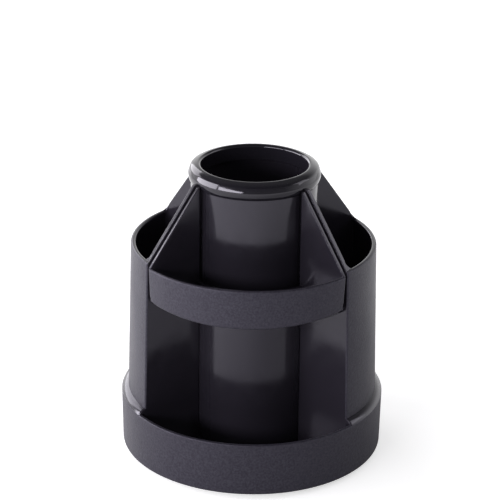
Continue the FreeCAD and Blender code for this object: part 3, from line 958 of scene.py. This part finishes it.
def band_place(u, v, inset, depth):
    """A point of the band: u runs from end to end, and v up from its lower edge, which rises to both ends."""
    turn_share = 0.4
    corner_here = mix(band_corner, band_inner_corner, depth / band_thickness)
    corner = corner_here - inset
    tilt = 1
    if v < turn_share:
        angle = math.pi / 2 * v / turn_share
        rise = inset + corner * (1 - math.cos(angle))
        gap = band_foot_gap + inset + corner * (1 - math.sin(angle))
    else:
        share = (v - turn_share) / (1 - turn_share)
        rise = mix(corner_here, band_top - band_low - inset, share)
        gap = mix(band_foot_gap, band_gap, share) + inset
        tilt = 1 - share
    radius = wall_outside(band_low + rise) - depth
    reach = shelf_sector - math.asin(gap / radius)
    angle = mix(-reach, reach, u)
    height = band_low + rise + tilt * band_foot_slope * wall_foot_radius * (1 - math.cos(angle))
    return radius * math.sin(angle), -radius * math.cos(angle), height


def drawer_side(side):
    """The side wall along one fin, from the cup out into the band."""
    start = math.sqrt(drawer_inner ** 2 - drawer_side_gap ** 2)
    away = Vector((math.sin(shelf_sector), -math.cos(shelf_sector)))
    inward = Vector((-math.cos(shelf_sector), -math.sin(shelf_sector)))
    level_share = 0.2

    def place(u, v, inset, depth):
        last_tenth = max(0, v * 10 - 9)
        reach = rim_radius - mix(band_thickness / 2, side_tip_gap, last_tenth) - inset
        if u < level_share:
            along = mix(start + inset, fin_cap_radius, u / level_share)
        else:
            along = mix(fin_cap_radius, reach, (u - level_share) / (1 - level_share))
        lean = 1.0 if u <= level_share else math.sqrt(1 + fin_slope ** 2)
        top = fin_height(math.hypot(along, drawer_side_gap)) - drawer_drop - inset * lean
        flat = away * along + inward * (drawer_side_gap + depth)
        return side * flat.x, flat.y, mix(drawer_base + side_foot_gap + inset, top, v)

    return plate("side", place, drawer_wall, drawer_edge, across=20, along=8)


def drawer_floor_place(u, v, inset, depth):
    """A point of the tray's floor: u runs from fin to fin, and v outwards from the cup."""
    radius = mix(drawer_inner + inset, wall_outside(band_low) - band_thickness / 2 - inset, v)
    reach = shelf_sector - math.asin((embedded + inset) / radius)
    angle = mix(-reach, reach, u)
    return radius * math.sin(angle), -radius * math.cos(angle), drawer_floor_top - depth


def sill_place(u, v, inset, depth):
    """A point of the low sill by the cup: u runs from fin to fin, and v upwards."""
    radius = drawer_inner + drawer_wall - depth
    reach = shelf_sector - math.asin((embedded + inset) / radius)
    angle = mix(-reach, reach, u)
    height = mix(drawer_base + sill_foot_gap + inset, sill_top - inset, v)
    return radius * math.sin(angle), -radius * math.cos(angle), height


def hook(side, width, low, high):
    """One block of a hook, drawn by its width and its two heights."""
    def place(u, v, inset, depth):
        x = side * hook_spacing / 2 + mix(inset - width / 2, width / 2 - inset, u)
        return x, -hook_back - hook_length + depth, mix(low + inset, high - inset, v)
    return plate("hook", place, hook_length, hook_edge, across=2, along=2)


def drawer(name):
    """The whole moulding of the front drawer."""
    band = plate(name, band_place, band_thickness, band_edge, across=72, along=20)
    floor_thickness = drawer_floor_top - drawer_base
    hook_top = shelf_low.z - hook_gap
    hook_low = hook_top - hook_foot_height
    others = [plate("floor", drawer_floor_place, floor_thickness, floor_edge, across=48, along=8),
              plate("sill", sill_place, drawer_wall, drawer_edge, across=48, along=3),
              drawer_side(1), drawer_side(-1)]
    for side in (1, -1):
        others.append(hook(side, hook_stem_width, hook_low + hook_lap, drawer_floor_top - hook_root_depth))
        others.append(hook(side, hook_foot_width, hook_low, hook_top))
    return combined(band, others, "UNION")


def band_outside(at, look):
    """True for the grained outside of the band and the rounds of its edges."""
    return at.xy.length > rim_radius - band_grain_depth and faces_out(at, look)


front_drawer = drawer("front_drawer_tray")
back_drawer = half_turned("back_drawer_tray", front_drawer)
for piece, node in ((front_drawer, "front_drawer"), (back_drawer, "back_drawer")):
    dressed(piece, polish, grain_outside)
    by_side(piece, band_outside)
    fitted(piece, node, "drawer_charcoal", node)

# Studio
# A plain white table in a white room. A large soft box lights the organizer from the left, with another
# behind it, a long low one in front and a weak one on the right. The table keeps the organizer's shadow.

table_size = 4.0
table_white = 0.86
table_glow = 0.6
shade_centre = (0.12, -0.05, 0)
shade_start = 0.12
shade_end = 0.30


def worked(tree, operation, first, second):
    """The result of one sum on two values, each of them an output or a number."""
    step = tree.nodes.new("ShaderNodeMath")
    step.operation = operation
    for value, socket in zip((first, second), step.inputs):
        if isinstance(value, (int, float)):
            socket.default_value = value
        else:
            tree.links.new(value, socket)
    return step.outputs[0]


def chosen(tree, pick, plain, special):
    """The special value where pick is one, and the plain value where it is zero."""
    step = worked(tree, "SUBTRACT", special, plain)
    return worked(tree, "ADD", plain, worked(tree, "MULTIPLY", pick, step))


def kinds_of_ray(tree):
    """One for rays from the camera, and one for mirrored or refracted rays."""
    path = tree.nodes.new("ShaderNodeLightPath")
    mirrored = worked(tree, "MAXIMUM", path.outputs["Is Glossy Ray"], path.outputs["Is Transmission Ray"])
    return path.outputs["Is Camera Ray"], mirrored


def white_table():
    """White table top that shows white where it is lit and keeps its shadows; its glow, as mirrored rays see
    it, fades near a spot right of the organizer as a painted shadow.
    """
    finish = bpy.data.materials.new("white_table")
    finish.use_nodes = True
    tree = finish.node_tree
    tree.nodes.clear()
    paint = tree.nodes.new("ShaderNodeBsdfDiffuse")
    paint.inputs["Color"].default_value = (table_white, table_white, table_white, 1)
    glow = tree.nodes.new("ShaderNodeEmission")
    glow.inputs["Color"].default_value = (1, 1, 1, 1)
    place = tree.nodes.new("ShaderNodeTexCoord")
    away = tree.nodes.new("ShaderNodeVectorMath")
    away.operation = "DISTANCE"
    away.inputs[1].default_value = shade_centre
    tree.links.new(place.outputs["Object"], away.inputs[0])
    seen, mirrored = kinds_of_ray(tree)
    # Painted shadow: mirrored rays see the glow fade away near a spot right of the organizer, where its
    # shadow falls.
    spread = between(tree, away.outputs["Value"], 0, 1, shade_start, shade_end)
    mirrored = worked(tree, "MULTIPLY", mirrored, spread)
    level = worked(tree, "MULTIPLY", worked(tree, "MAXIMUM", seen, mirrored), table_glow)
    both = tree.nodes.new("ShaderNodeAddShader")
    out = tree.nodes.new("ShaderNodeOutputMaterial")
    tree.links.new(level, glow.inputs["Strength"])
    tree.links.new(paint.outputs[0], both.inputs[0])
    tree.links.new(glow.outputs[0], both.inputs[1])
    tree.links.new(both.outputs[0], out.inputs["Surface"])
    return finish


bpy.ops.mesh.primitive_plane_add(size=table_size, location=(0, 0, 0))
table = bpy.context.active_object
table.name = "table_top"
table.data.materials.append(white_table())

# The room is brighter behind the organizer and darker overhead to mirrored rays, fades from left to right
# to the other rays, and is white to the camera.
world = bpy.data.worlds.new("bright_room")
bpy.context.scene.world = world
world.use_nodes = True
room = world.node_tree
background = room.nodes["Background"]
background.inputs["Color"].default_value = (1, 1, 1, 1)
towards = room.nodes.new("ShaderNodeTexCoord")
parts = room.nodes.new("ShaderNodeSeparateXYZ")
room.links.new(towards.outputs["Generated"], parts.inputs[0])
behind = between(room, parts.outputs["Y"], low=0.25, high=1.5, start=-0.5, end=0.5)
overhead = between(room, parts.outputs["Z"], low=1.0, high=0.12, start=0.25, end=0.60)
ambient = between(room, parts.outputs["X"], low=0.50, high=0.18, start=-0.9, end=0.8)
seen, mirrored = kinds_of_ray(room)
level = chosen(room, mirrored, ambient, worked(room, "MULTIPLY", behind, overhead))
level = chosen(room, seen, level, 1.0)
room.links.new(level, background.inputs["Strength"])

soft_box_colour = (0.97, 0.95, 1.0)
lit_place = Vector((0, 0, 0.06))


def soft_box(name, place, width, height, watts):
    """A rectangular soft box, slightly cool, that looks at the organizer."""
    light = bpy.data.lights.new(name, "AREA")
    light.color = soft_box_colour
    light.shape = "RECTANGLE"
    light.size = width
    light.size_y = height
    light.energy = watts
    lamp = bpy.data.objects.new(name, light)
    lamp.location = place
    lamp.rotation_euler = (lit_place - Vector(place)).to_track_quat("-Z", "Y").to_euler()
    bpy.context.scene.collection.objects.link(lamp)


soft_box("left_soft_box", (-1.37, -0.10, 0.42), width=1.2, height=0.5, watts=16)
soft_box("back_left_soft_box", (-0.95, 1.05, 0.60), width=1.0, height=0.8, watts=8)
soft_box("front_left_strip", (-0.75, -1.00, 0.42), width=1.0, height=0.24, watts=9)
soft_box("right_soft_box", (1.2, 0.25, 0.75), width=0.7, height=0.7, watts=2.5)

# The camera stands where the photograph was taken from.
view_distance = 900 * mm
view_fall = math.radians(24.25)
view_turn = math.radians(4.59)
view_roll = math.radians(-0.70)
view_pivot = 62.4 * mm
aim_point = Vector((-1.58 * mm, 0, 93.68 * mm))
pixels_wide = 500
focal_pixels = 1990.35
sensor_width = 36.0

camera_data = bpy.data.cameras.new("photo_view")
camera = bpy.data.objects.new("photo_view", camera_data)
camera_data.sensor_width = sensor_width
camera_data.lens = focal_pixels * sensor_width / pixels_wide
turn = Matrix.Rotation(view_turn, 3, "Z")
stand = turn @ Vector((0, -math.cos(view_fall) * view_distance,
                       math.sin(view_fall) * view_distance + view_pivot))
aim = turn @ aim_point
back_axis = (stand - aim).normalized()
right_axis = Vector((0, 0, 1)).cross(back_axis).normalized()
up_axis = back_axis.cross(right_axis)
rolled_right = right_axis * math.cos(view_roll) - up_axis * math.sin(view_roll)
rolled_up = right_axis * math.sin(view_roll) + up_axis * math.cos(view_roll)
axes = Matrix((rolled_right, rolled_up, back_axis)).transposed()
camera.matrix_world = Matrix.Translation(stand) @ axes.to_4x4()
bpy.context.scene.collection.objects.link(camera)
bpy.context.scene.camera = camera
bpy.context.scene.view_settings.view_transform = "Standard"
